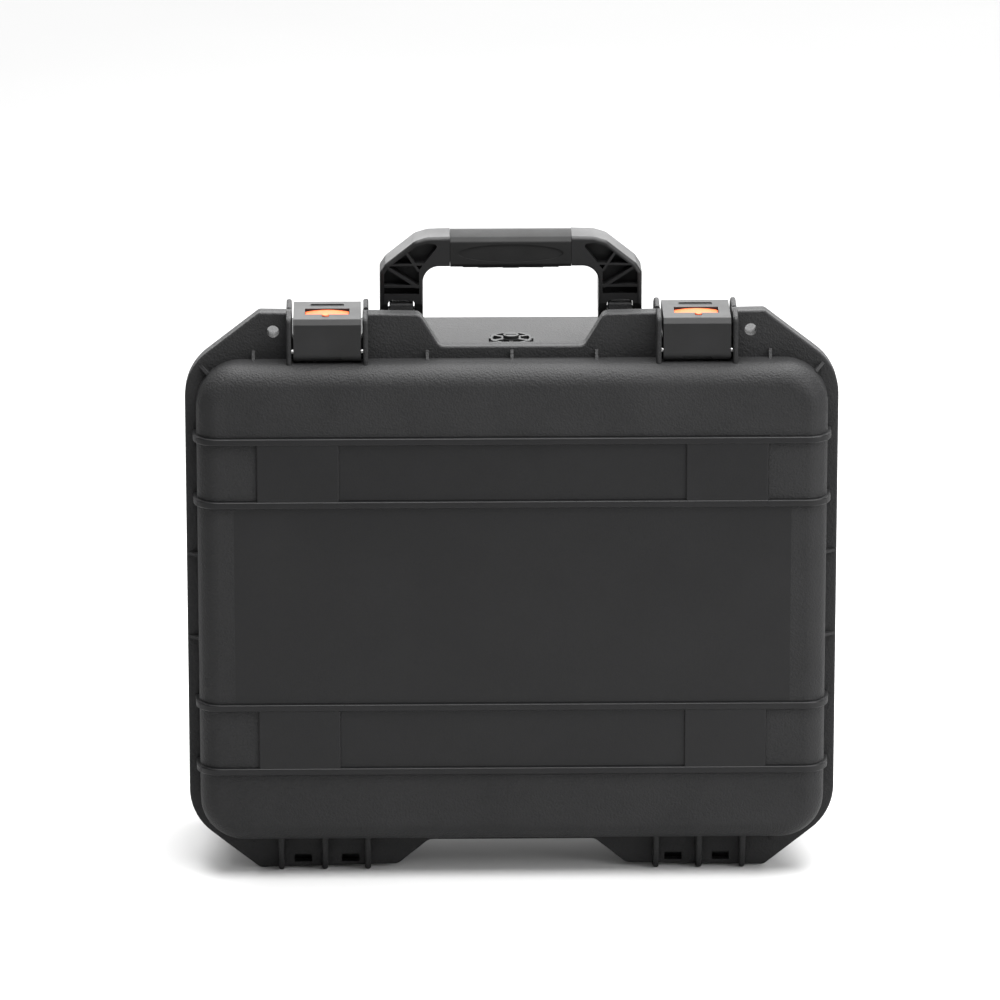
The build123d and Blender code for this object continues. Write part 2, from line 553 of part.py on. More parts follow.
# ---------------------------------------------------------------- handle
with BuildPart() as handle_frame:
    # front silhouette of the whole bail
    with BuildSketch(front_plane(HANDLE_Y1)) as bail:
        with BuildLine():
            Polyline(*([(48.6, 303.0), (72.5, 303.0), (72.5, 335.2), (69.3, 340.2), (53.0, 353.1), (46.0, 355.2),
                        (0.0, 356.4), (-46.0, 355.2), (-53.0, 353.1), (-69.3, 340.2), (-72.5, 335.2),
                        (-72.5, 303.0), (-48.6, 303.0), (-48.6, 338.9), (48.6, 338.9)]), close=True)
        make_face()
        fillet(bail.vertices().filter_by(lambda v: abs(abs(v.X) - 48.6) < 0.1 and v.Y > 330), 9.0)
        fillet(bail.vertices().filter_by(lambda v: 68 < abs(v.X) and v.Y > 330), 2.6)
        fillet(bail.vertices().filter_by(lambda v: 50 < abs(v.X) < 54 and v.Y > 345), 8.0)
        fillet(bail.vertices().filter_by(lambda v: abs(v.X) < 47 and abs(v.X) > 45 and v.Y > 345), 12.0)
    extrude(amount=HANDLE_Y1 - HANDLE_Y0)
    # crowned outside: long edges rounded front and back
    outer = handle_frame.edges().filter_by(
        lambda e: (e.center().Z > 342.5 or (abs(e.center().X) > 71 and e.center().Z > 310))
        and abs(abs(e.center().Y - 1.0) - 12.0) < 0.1)
    fillet(outer, 2.4)
    inner = handle_frame.edges().filter_by(
        lambda e: e.center().Z < 342 and abs(e.center().X) < 49.2 and e.center().Z > 306
        and abs(abs(e.center().Y - 1.0) - 12.0) < 0.1)
    fillet(inner, 1.2)
    # leg ends rounded about the pin
    with BuildSketch(side_plane(-80)) as leg_end:
        with BuildLine():
            Polyline((-30, 290), (30, 290), (30, 318), (HANDLE_PIN_Y + 12.2, 318), (HANDLE_PIN_Y + 8.4, HANDLE_PIN_Z),
                     (HANDLE_PIN_Y - 8.4, HANDLE_PIN_Z), (HANDLE_PIN_Y - 12.2, 318), (-30, 318), close=True)
        make_face()
        with Locations((HANDLE_PIN_Y, HANDLE_PIN_Z)):
            Circle(8.4, mode=Mode.SUBTRACT)
    extrude(amount=160, mode=Mode.SUBTRACT)
    # forks
    with BuildSketch(front_plane(20)) as forks:
        for s in (1, -1):
            with Locations((s * (FORK_X0 + FORK_X1) / 2, 300)):
                Rectangle(FORK_X1 - FORK_X0, 2 * (FORK_Z - 300))
        fillet(forks.vertices().filter_by(lambda v: v.Y > 310), 2.5)
    extrude(amount=40, mode=Mode.SUBTRACT)
    # open-fronted, ribbed legs
    with BuildSketch(front_plane(HANDLE_Y0)) as pockets:
        for s in (1, -1):
            with BuildLine():
                Polyline((s * 50.7, 323.0), (s * 70.0, 323.0), (s * 70.0, 334.8), (s * 67.7, 338.4),
                         (s * 52.2, 350.4), (s * 46.0, 352.2), (s * 39.6, 351.2), (s * 50.7, 337.0), close=True)
            make_face()
        fillet(pockets.vertices().filter_by(lambda v: v.Y > 330 and abs(v.X) < 50), 1.5)
        # ribs left standing in the pockets
        for s in (1, -1):
            with BuildLine():
                Polyline((s * 48.0, 327.0), (s * 73.0, 327.0), (s * 73.0, 328.4), (s * 48.0, 328.4), close=True)
            make_face(mode=Mode.SUBTRACT)
            with BuildLine():
                Polyline((s * 50.6, 327.6), (s * 51.6, 326.4), (s * 71.6, 339.6), (s * 70.6, 340.8), close=True)
            make_face(mode=Mode.SUBTRACT)
            with BuildLine():
                Polyline((s * 50.2, 336.4), (s * 51.4, 335.8), (s * 59.6, 348.4), (s * 58.4, 349.2), close=True)
            make_face(mode=Mode.SUBTRACT)
            with BuildLine():
                Polyline((s * 47.0, 340.6), (s * 47.9, 339.6), (s * 68.4, 339.2), (s * 68.4, 340.2), close=True)
            make_face(mode=Mode.SUBTRACT)
    extrude(amount=-7.0, mode=Mode.SUBTRACT)
    # seat for the grip
    with BuildSketch(side_plane(-GRIP_HALF)):
        with Locations((1.0, 347.0)):
            Rectangle(40, 40)
            RectangleRounded(17.0, 11.0, 3.0, mode=Mode.SUBTRACT)
    extrude(amount=2 * GRIP_HALF, mode=Mode.SUBTRACT)
    # pin bore
    with Locations(side_plane(0)):
        with Locations((HANDLE_PIN_Y, HANDLE_PIN_Z)):
            Cylinder(HANDLE_PIN_R + 0.06, 150, mode=Mode.SUBTRACT)
handle_frame.part.label = "handle_frame"

with BuildPart() as handle_grip:
    with BuildSketch(side_plane(-GRIP_HALF + 0.15)) as grip_section:
        with BuildLine():
            Polyline((-11.2, 340.0), (-11.2, 352.8), (-8.8, 355.2), (1.0, 356.9), (10.8, 355.2), (13.2, 352.8),
                     (13.2, 340.0), (10.0, 337.2), (-8.0, 337.2), close=True)
        make_face()
        fillet(grip_section.vertices().filter_by(lambda v: v.Y > 350 and v.Y < 356), 1.6)
        fillet(grip_section.vertices().filter_by(lambda v: v.Y < 341), 1.5)
    extrude(amount=2 * GRIP_HALF - 0.3)
    # the core it is moulded onto
    with BuildSketch(side_plane(-GRIP_HALF)):
        with Locations((1.0, 347.0)):
            RectangleRounded(17.0, 11.0, 3.0)
    extrude(amount=2 * GRIP_HALF, mode=Mode.SUBTRACT)
    # stepped finger rests along the underside
    with BuildSketch(front_plane(20)):
        with BuildLine():
            Polyline((-40, 330), (-40, 338.6), (-26.4, 338.4), (-26.4, 337.9), (-18, 337.9), (-18, 337.5),
                     (-4.5, 337.7), (-4.5, 337.25), (4.5, 337.25), (4.5, 337.7), (18, 337.5), (18, 337.9),
                     (26.4, 337.9), (26.4, 338.4), (40, 338.6), (40, 330), close=True)
        make_face()
    extrude(amount=40, mode=Mode.SUBTRACT)
    # oval recess on the front and the back
    with BuildSketch(front_plane(-10.6)):
        with Locations((0, 346.4)):
            Ellipse(29.0, 5.0)
    extrude(amount=3, mode=Mode.SUBTRACT)
    with BuildSketch(back_plane(12.6)):
        with Locations((0, 346.4)):
            Ellipse(29.0, 5.0)
    extrude(amount=3, mode=Mode.SUBTRACT)
handle_grip.part.label = "handle_grip"

# ---------------------------------------------------------------- purge valve
with BuildPart() as purge_valve_body:
    with BuildSketch(Plane.XY.offset(288.6)):
        with Locations((0, VALVE_Y)):
            Circle(9.5)
    extrude(amount=2.6)
    with BuildSketch(Plane.XY.offset(291.2)):
        with Locations((0, VALVE_Y)):
            Circle(5.98)
    extrude(amount=4.8)
    with Locations((0, VALVE_Y, 292)):
        Cylinder(4.05, 20, mode=Mode.SUBTRACT)
purge_valve_body.part.label = "purge_valve_body"

with BuildPart() as purge_valve_oring:
    with Locations((0, VALVE_Y, 295.86)):
        Torus(9.0, 0.64)
purge_valve_oring.part.label = "purge_valve_oring"

with BuildPart() as purge_valve_knob:
    # notched rim
    with BuildSketch(Plane.XY.offset(296.55)):
        with Locations((0, VALVE_Y)):
            Circle(VALVE_R)
            with PolarLocations(VALVE_R + 1.6, 12, start_angle=15):
                Circle(2.4, mode=Mode.SUBTRACT)
    extrude(amount=3.0)
    fillet(purge_valve_knob.faces().sort_by(Axis.Z)[-1].edges(), 0.5)
    # sunk ring between the rim and the hub, crossed by six spokes
    with BuildSketch(Plane.XY.offset(299.55)):
        with Locations((0, VALVE_Y)):
            Circle(10.2)
            Circle(5.4, mode=Mode.SUBTRACT)
            with PolarLocations(7.8, 6, start_angle=30):
                Rectangle(6.4, 2.2, mode=Mode.SUBTRACT)
    extrude(amount=-1.7, mode=Mode.SUBTRACT)
    # hub with a coin slot
    with BuildSketch(Plane.XY.offset(299.0)):
        with Locations((0, VALVE_Y)):
            Circle(4.3)
    extrude(amount=2.3)
    with BuildSketch(Plane.XY.offset(301.3)):
        with Locations((0, VALVE_Y)):
            Rectangle(6.0, 1.3)
    extrude(amount=-0.7, mode=Mode.SUBTRACT)
    # stem
    with BuildSketch(Plane.XY.offset(297.0)):
        with Locations((0, VALVE_Y)):
            Circle(4.0)
    extrude(amount=-6.0)
purge_valve_knob.part.label = "purge_valve_knob"

# ---------------------------------------------------------------- foam
TRAY_FRONT, TRAY_BACK = -36.5, 44.0
with BuildPart() as foam_tray:
    with BuildSketch(back_plane(TRAY_FRONT)):
        with Locations((0, BODY_ZC)):
            RectangleRounded(336.0, 263.0, 45.0)
    extrude(amount=TRAY_BACK - TRAY_FRONT)
    # drone, controller, three batteries, accessories
    for x0, x1, z0, z1, r, depth in (
        (-156, 42, 164, 278, 22, 68), (60, 156, 116, 278, 16, 56),
        (-156, -118, 42, 142, 6, 60), (-104, -66, 42, 142, 6, 60), (-52, -14, 42, 142, 6, 60),
        (4, 42, 42, 142, 6, 60), (60, 156, 42, 98, 8, 50),
    ):
        with BuildSketch(back_plane(TRAY_FRONT)):
            with Locations((-(x0 + x1) / 2, (z0 + z1) / 2)):
                RectangleRounded(x1 - x0, z1 - z0, r)
        extrude(amount=depth, mode=Mode.SUBTRACT)
    # relief round the purge valve's inner flange
    with BuildSketch(Plane.XY.offset(286.5)):
        with Locations((0, VALVE_Y)):
            Rectangle(26, 40)
    extrude(amount=10, mode=Mode.SUBTRACT)
foam_tray.part.label = "foam_tray"

with BuildPart() as foam_base_pad:
    with BuildSketch(back_plane(44.4)):
        with Locations((0, BODY_ZC)):
            RectangleRounded(330.0, 257.0, 43.0)
    extrude(amount=15.8)
    fillet(foam_base_pad.faces().sort_by(Axis.Y)[-1].edges(), 9.0)
foam_base_pad.part.label = "foam_base_pad"

with BuildPart() as lid_foam:
    with BuildSketch(front_plane(-41.0)):
        with Locations((0, BODY_ZC)):
            RectangleRounded(334.0, 261.0, 18.0)
    extrude(amount=19.3)
    fillet(lid_foam.faces().sort_by(Axis.Y)[0].edges(), 9.0)
lid_foam.part.label = "lid_foam"

# ---------------------------------------------------------------- left-hand pieces
with BuildPart() as hinge_pin_left:
    add(hinge_pin_right.part)
    mirror(about=Plane.YZ, mode=Mode.REPLACE)
hinge_pin_left.part.label = "hinge_pin_left"

with BuildPart() as latch_pin_left:
    add(latch_pin_right.part)
    mirror(about=Plane.YZ, mode=Mode.REPLACE)
latch_pin_left.part.label = "latch_pin_left"

with BuildPart() as handle_pin_left:
    add(handle_pin_right.part)
    mirror(about=Plane.YZ, mode=Mode.REPLACE)
handle_pin_left.part.label = "handle_pin_left"

with BuildPart() as latch_left:
    add(latch_right.part)
    mirror(about=Plane.YZ, mode=Mode.REPLACE)
latch_left.part.label = "latch_left"

with BuildPart() as latch_button_left:
    add(latch_button_right.part)
    mirror(about=Plane.YZ, mode=Mode.REPLACE)
latch_button_left.part.label = "latch_button_left"

with BuildPart() as button_spring_left:
    add(button_spring_right.part)
    mirror(about=Plane.YZ, mode=Mode.REPLACE)
button_spring_left.part.label = "button_spring_left"

with BuildPart() as latch_keeper_left:
    add(latch_keeper_right.part)
    mirror(about=Plane.YZ, mode=Mode.REPLACE)
latch_keeper_left.part.label = "latch_keeper_left"

with BuildPart() as handle_bracket_left:
    add(handle_bracket_right.part)
    mirror(about=Plane.YZ, mode=Mode.REPLACE)
handle_bracket_left.part.label = "handle_bracket_left"

# ---------------------------------------------------------------- files
export_step(lid_shell.part, "parts/lid_shell.step")
export_step(lid_gasket.part, "parts/lid_gasket.step")
export_step(lid_foam.part, "parts/lid_foam.step")
export_step(latch_pin_left.part, "parts/latch_pin_left.step")
export_step(latch_pin_right.part, "parts/latch_pin_right.step")
export_step(latch_left.part, "parts/latch_left.step")
export_step(latch_right.part, "parts/latch_right.step")
export_step(latch_button_left.part, "parts/latch_button_left.step")
export_step(latch_button_right.part, "parts/latch_button_right.step")
export_step(button_spring_left.part, "parts/button_spring_left.step")
export_step(button_spring_right.part, "parts/button_spring_right.step")
export_step(base_shell.part, "parts/base_shell.step")
export_step(foam_tray.part, "parts/foam_tray.step")
export_step(foam_base_pad.part, "parts/foam_base_pad.step")
export_step(hinge_pin_left.part, "parts/hinge_pin_left.step")
export_step(hinge_pin_right.part, "parts/hinge_pin_right.step")
export_step(handle_pin_left.part, "parts/handle_pin_left.step")
export_step(handle_pin_right.part, "parts/handle_pin_right.step")
export_step(handle_frame.part, "parts/handle_frame.step")
export_step(handle_grip.part, "parts/handle_grip.step")
export_step(purge_valve_body.part, "parts/purge_valve_body.step")
export_step(purge_valve_oring.part, "parts/purge_valve_oring.step")
export_step(purge_valve_knob.part, "parts/purge_valve_knob.step")
export_step(latch_keeper_left.part, "parts/latch_keeper_left.step")
export_step(latch_keeper_right.part, "parts/latch_keeper_right.step")
export_step(handle_bracket_left.part, "parts/handle_bracket_left.step")
export_step(handle_bracket_right.part, "parts/handle_bracket_right.step")
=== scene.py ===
import bpy
import bmesh
import json
import math
import numpy as np
from mathutils import Matrix, Vector


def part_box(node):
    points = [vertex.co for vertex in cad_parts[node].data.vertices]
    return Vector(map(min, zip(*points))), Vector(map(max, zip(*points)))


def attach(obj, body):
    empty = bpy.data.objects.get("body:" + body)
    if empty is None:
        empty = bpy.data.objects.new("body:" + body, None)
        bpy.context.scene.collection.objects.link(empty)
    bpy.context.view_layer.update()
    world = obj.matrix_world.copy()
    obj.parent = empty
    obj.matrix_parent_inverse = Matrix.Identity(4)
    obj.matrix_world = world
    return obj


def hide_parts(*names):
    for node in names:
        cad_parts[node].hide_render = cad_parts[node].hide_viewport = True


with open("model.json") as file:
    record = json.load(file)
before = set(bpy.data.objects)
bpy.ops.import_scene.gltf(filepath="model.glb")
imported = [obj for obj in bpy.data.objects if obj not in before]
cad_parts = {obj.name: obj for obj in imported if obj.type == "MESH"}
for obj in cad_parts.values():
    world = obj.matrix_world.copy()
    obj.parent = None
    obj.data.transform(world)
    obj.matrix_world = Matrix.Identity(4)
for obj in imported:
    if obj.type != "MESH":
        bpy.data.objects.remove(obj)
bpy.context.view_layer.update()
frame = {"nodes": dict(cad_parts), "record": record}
NODES = frame["nodes"]
scene = bpy.context.scene
MM = 0.001


# ------------------------------------------------------------------ node helpers
class Mat:
    """A small builder for a node material on one Principled shader."""

    def __init__(self, name, color=(0.02, 0.02, 0.02), rough=0.5, metallic=0.0, spec=0.5):
        self.m = bpy.data.materials.new(name)
        self.m.use_nodes = True
        self.nt = self.m.node_tree
        self.b = self.nt.nodes["Principled BSDF"]
        self.b.inputs["Base Color"].default_value = (*color, 1)
        self.b.inputs["Roughness"].default_value = rough
        self.b.inputs["Metallic"].default_value = metallic
        self.b.inputs["Specular IOR Level"].default_value = spec
        self.co = self.nt.nodes.new("ShaderNodeTexCoord").outputs["Object"]

    def node(self, kind, **props):
        n = self.nt.nodes.new(kind)
        for k, v in props.items():
            setattr(n, k, v)
        return n

    def put(self, socket, value):
        if isinstance(value, bpy.types.NodeSocket):
            self.nt.links.new(value, socket)
        else:
            socket.default_value = value

    def math(self, op, a, b=0.0, c=0.0, clamp=False):
        n = self.node("ShaderNodeMath", operation=op, use_clamp=clamp)
        self.put(n.inputs[0], a)
        self.put(n.inputs[1], b)
        self.put(n.inputs[2], c)
        return n.outputs[0]

    def xyz(self):
        n = self.node("ShaderNodeSeparateXYZ")
        self.put(n.inputs[0], self.co)
        return n.outputs[0], n.outputs[1], n.outputs[2]

    def noise(self, scale, detail=2.0, rough=0.5, co=None, distortion=0.0):
        n = self.node("ShaderNodeTexNoise")
        self.put(n.inputs["Vector"], co or self.co)
        n.inputs["Scale"].default_value = scale
        n.inputs["Detail"].default_value = detail
        n.inputs["Roughness"].default_value = rough
        n.inputs["Distortion"].default_value = distortion
        return n.outputs["Fac"]

    def voronoi(self, scale, feature="SMOOTH_F1", co=None):
        n = self.node("ShaderNodeTexVoronoi", feature=feature)
        self.put(n.inputs["Vector"], co or self.co)
        n.inputs["Scale"].default_value = scale
        return n.outputs["Distance"]

    def ramp(self, fac, stops):
        n = self.node("ShaderNodeValToRGB")
        self.put(n.inputs[0], fac)
        e = n.color_ramp.elements
        e[0].position, e[0].color = stops[0][0], (*stops[0][1], 1)
        e[1].position, e[1].color = stops[-1][0], (*stops[-1][1], 1)
        for p, c in stops[1:-1]:
            x = e.new(p)
            x.color = (*c, 1)
        return n.outputs[0]

    def remap(self, v, a, b, c, d):
        n = self.node("ShaderNodeMapRange")
        self.put(n.inputs[0], v)
        for i, k in enumerate((a, b, c, d)):
            self.put(n.inputs[i + 1], k)
        return n.outputs[0]

    def stretch(self, sx, sy, sz):
        n = self.node("ShaderNodeMapping")
        self.put(n.inputs["Vector"], self.co)
        n.inputs["Scale"].default_value = (sx, sy, sz)
        return n.outputs[0]

    def bump(self, height, distance, strength=1.0, normal=None):
        n = self.node("ShaderNodeBump")
        n.inputs["Strength"].default_value = strength
        n.inputs["Distance"].default_value = distance
        self.put(n.inputs["Height"], height)
        if normal is not None:
            self.put(n.inputs["Normal"], normal)
        return n.outputs[0]

    def set(self, name, value):
        self.put(self.b.inputs[name], value)
        return self


def band(M, v, lo, hi):
    """1 where lo < v < hi."""
    return M.math("LESS_THAN", M.math("ABSOLUTE", M.math("SUBTRACT", v, (lo + hi) / 2)), (hi - lo) / 2)


# ------------------------------------------------------------------ materials
def shell_plastic():
    M = Mat("shell_plastic", rough=0.5, spec=0.22)
    x, y, z = M.xyz()
    ax = M.math("ABSOLUTE", x)
    ay = M.math("ABSOLUTE", y)
    # polished areas on the two big faces: pads, label panels, rails, middle field
    zone = None
    for lo, hi in ((0.0612, 0.1033), (0.2152, 0.2561)):
        b = M.math("MULTIPLY", band(M, z, lo, hi), M.math("LESS_THAN", ax, 0.1407))
        zone = b if zone is None else M.math("MAXIMUM", zone, b)
    for lo, hi in ((0.0617, 0.0657), (0.0988, 0.1028), (0.2157, 0.2196), (0.2517, 0.2556)):
        zone = M.math("MAXIMUM", zone, band(M, z, lo - 0.0002, hi + 0.0002))
    field = M.math("MULTIPLY", band(M, z, 0.1028, 0.2157), M.math("LESS_THAN", ax, 0.1535))
    zone = M.math("MAXIMUM", zone, field)
    zone = M.math("MULTIPLY", zone, M.math("GREATER_THAN", ay, 0.0605))
    rough_area = M.math("SUBTRACT", 1.0, zone)
    # spark-eroded grain: pebbles about 0.6 mm wide with a finer tooth on top
    pebble = M.voronoi(1000)
    tooth = M.noise(2600, 2.0, 0.6)
    drift = M.noise(420, 2.0, 0.5)
    grain = M.math("ADD", M.math("MULTIPLY", pebble, 0.75), M.math("MULTIPLY", tooth, 0.35))
    grain = M.math("ADD", grain, M.math("MULTIPLY", drift, 0.35))
    h = M.math("MULTIPLY", grain, M.remap(rough_area, 0.0, 1.0, 0.10, 1.0))
    n1 = M.bump(h, 0.00036, 1.0)
    sink = M.noise(14, 2.0, 0.5)  # slow waviness of a big moulding
    n2 = M.bump(sink, 0.0009, 0.35, n1)
    M.set("Normal", n2)
    cloud = M.noise(22, 4.0, 0.55)
    speck = M.noise(900, 1.0, 0.5)
    mix = M.math("ADD", M.math("MULTIPLY", cloud, 0.7), M.math("MULTIPLY", speck, 0.3))
    mix = M.math("ADD", mix, M.remap(rough_area, 0, 1, -0.30, 0.10))  # the polished areas look deeper black
    M.set("Base Color", M.ramp(mix, [(0.10, (0.0072, 0.0072, 0.0076)), (0.38, (0.0092, 0.0092, 0.0096)), (0.55, (0.0130, 0.0130, 0.0134)), (0.85, (0.0178, 0.0177, 0.0182))]))
    r = M.math("ADD", M.remap(rough_area, 0, 1, 0.42, 0.60), M.math("MULTIPLY", M.math("SUBTRACT", cloud, 0.5), 0.10))
    M.set("Roughness", r)
    return M.m


def satin_plastic(name, tone=0.018, rough=0.5, grain=0.5, spec=0.22):
    M = Mat(name, rough=rough, spec=spec)
    tooth = M.noise(1900, 3.0, 0.6)
    pebble = M.voronoi(1500)
    h = M.math("ADD", M.math("MULTIPLY", tooth, 0.6), M.math("MULTIPLY", pebble, 0.4))
    n1 = M.bump(h, 0.00006 * grain, 0.9)
    flow = M.noise(60, 2.0, 0.5, co=M.stretch(0.35, 1, 1))
    M.set("Normal", M.bump(flow, 0.00035, 0.25, n1))
    cloud = M.noise(45, 4.0, 0.6)
    M.set("Base Color", M.ramp(cloud, [(0.3, (tone * 0.82,) * 3), (0.55, (tone, tone, tone * 1.03)), (0.8, (tone * 1.25, tone * 1.25, tone * 1.27))]))
    M.set("Roughness", M.remap(cloud, 0.2, 0.8, rough - 0.06, rough + 0.07))
    return M.m


def rubber(name, tone=0.0075, rough=0.62):
    M = Mat(name, rough=rough, spec=0.18)
    pores = M.voronoi(2100)
    fine = M.noise(3200, 2.0, 0.6)
    h = M.math("ADD", M.math("MULTIPLY", pores, 0.7), M.math("MULTIPLY", fine, 0.4))
    M.set("Normal", M.bump(h, 0.00006, 0.8))
    cloud = M.noise(70, 4.0, 0.6)
    M.set("Base Color", M.ramp(cloud, [(0.3, (tone * 0.8,) * 3), (0.8, (tone * 1.25,) * 3)]))
    M.set("Roughness", M.remap(cloud, 0.2, 0.8, rough - 0.06, rough + 0.08))
    return M.m


def orange_plastic():
    M = Mat("button_orange", rough=0.6, spec=0.25)
    cloud = M.noise(180, 3.0, 0.5)
    fine = M.noise(2400, 2.0, 0.6)
    M.set("Normal", M.bump(fine, 0.00002, 0.6))
    M.set("Base Color", M.ramp(cloud, [(0.3, (0.62, 0.085, 0.022)), (0.6, (0.70, 0.11, 0.030)), (0.85, (0.76, 0.13, 0.04))]))
    M.set("Roughness", M.remap(cloud, 0.2, 0.8, 0.54, 0.66))
    return M.m


def steel(name="pin_steel", along=0, tone=0.55):
    M = Mat(name, rough=0.32, metallic=1.0)
    s = [60, 60, 60]
    s[along] = 4200  # turning marks run round the pin
    turned = M.noise(1.0, 3.0, 0.6, co=M.stretch(*s))
    cloud = M.noise(240, 3.0, 0.5)
    M.set("Normal", M.bump(turned, 0.00002, 0.6))
    M.set("Base Color", M.ramp(cloud, [(0.3, (tone * 0.85, tone * 0.85, tone * 0.86)), (0.8, (tone * 1.1, tone * 1.09, tone * 1.07))]))
    M.set("Roughness", M.remap(turned, 0.2, 0.8, 0.24, 0.42))
    return M.m


def foam(name="foam", tone=0.03):
    M = Mat(name, rough=0.92, spec=0.15)
    cells = M.voronoi(1300, feature="F1")
    small = M.voronoi(3100, feature="F1")
    h = M.math("ADD", M.math("MULTIPLY", cells, 0.8), M.math("MULTIPLY", small, 0.4))
    n1 = M.bump(h, 0.00028, 0.9)
    M.set("Normal", M.bump(M.noise(130, 3.0, 0.55), 0.0006, 0.5, n1))
    pit = M.math("MULTIPLY", M.math("SUBTRACT", 1.0, cells), 1.0)
    cloud = M.noise(35, 4.0, 0.6)
    mix = M.math("ADD", M.math("MULTIPLY", pit, 0.5), M.math("MULTIPLY", cloud, 0.5))
    M.set("Base Color", M.ramp(mix, [(0.35, (tone * 0.7, tone * 0.71, tone * 0.74)), (0.7, (tone * 1.2, tone * 1.21, tone * 1.25))]))
    M.set("Roughness", M.remap(cells, 0.0, 1.0, 0.86, 0.97))
    M.b.inputs["Sheen Weight"].default_value = 0.12
    M.b.inputs["Sheen Roughness"].default_value = 0.5
    return M.m


MAT_SHELL = shell_plastic()
MAT_LATCH = satin_plastic("latch_plastic", tone=0.013, rough=0.52, grain=0.7)
MAT_HANDLE = satin_plastic("handle_plastic", tone=0.0085, rough=0.46, grain=0.8)
MAT_VALVE = satin_plastic("valve_plastic", tone=0.012, rough=0.5, grain=0.8)
MAT_GRIP = rubber("grip_rubber")
MAT_SEAL = rubber("seal_rubber", tone=0.012, rough=0.55)
MAT_ORANGE = orange_plastic()
MAT_STEEL = steel()
MAT_SPRING = steel("spring_steel", along=2, tone=0.5)
MAT_FOAM = foam()

NODE_MAT = {
    "lid_shell": MAT_SHELL, "base_shell": MAT_SHELL,
    "latch_keeper_left": MAT_SHELL, "latch_keeper_right": MAT_SHELL,
    "handle_bracket_left": MAT_SHELL, "handle_bracket_right": MAT_SHELL,
    "latch_left": MAT_LATCH, "latch_right": MAT_LATCH,
    "latch_button_left": MAT_ORANGE, "latch_button_right": MAT_ORANGE,
    "latch_pin_left": MAT_STEEL, "latch_pin_right": MAT_STEEL,
    "hinge_pin_left": MAT_STEEL, "hinge_pin_right": MAT_STEEL,
    "handle_pin_left": MAT_STEEL, "handle_pin_right": MAT_STEEL,
    "button_spring_left": MAT_SPRING, "button_spring_right": MAT_SPRING,
    "handle_frame": MAT_HANDLE, "handle_grip": MAT_GRIP,
    "lid_gasket": MAT_SEAL, "purge_valve_oring": MAT_SEAL,
    "purge_valve_body": MAT_VALVE, "purge_valve_knob": MAT_VALVE,
    "foam_tray": MAT_FOAM, "foam_base_pad": MAT_FOAM, "lid_foam": MAT_FOAM,
}
for name, mat in NODE_MAT.items():
    o = NODES[name]
    if not o.material_slots:
        o.data.materials.append(mat)
    for s in o.material_slots:
        s.material = mat

BODY_OF = {n: b for b, ns in frame["record"]["behaviour"]["bodies"].items() for n in ns}


# ------------------------------------------------------------------ mesh helpers
def new_object(name, me, mat):
    o = bpy.data.objects.new(name, me)
    scene.collection.objects.link(o)
    me.materials.clear()
    me.materials.append(mat)
    return o


def apply_modifiers(o):
    dg = bpy.context.evaluated_depsgraph_get()
    me = bpy.data.meshes.new_from_object(o.evaluated_get(dg), depsgraph=dg)
    o.modifiers.clear()
    old = o.data
    o.data = me
    bpy.data.meshes.remove(old)
    return o


def soft_copy(node, name, voxel, smooth=2, puff=0.0):
    """A foam piece from a CAD node's shape: evenly meshed, with soft cut edges."""
    me = NODES[node].data.copy()
    o = new_object(name, me, NODE_MAT[node])
    r = o.modifiers.new("remesh", "REMESH")
    r.mode = "VOXEL"
    r.voxel_size = voxel
    r.use_smooth_shade = True
    s = o.modifiers.new("smooth", "SMOOTH")
    s.factor = 0.5
    s.iterations = smooth
    apply_modifiers(o)
    o.data.materials.clear()
    o.data.materials.append(NODE_MAT[node])
    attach(o, BODY_OF[node])
    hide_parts(node)
    return o


# ------------------------------------------------------------------ foam
tray = soft_copy("foam_tray", "foam_tray_cut", 0.0018)
pad = soft_copy("foam_base_pad", "foam_base_sheet", 0.003)


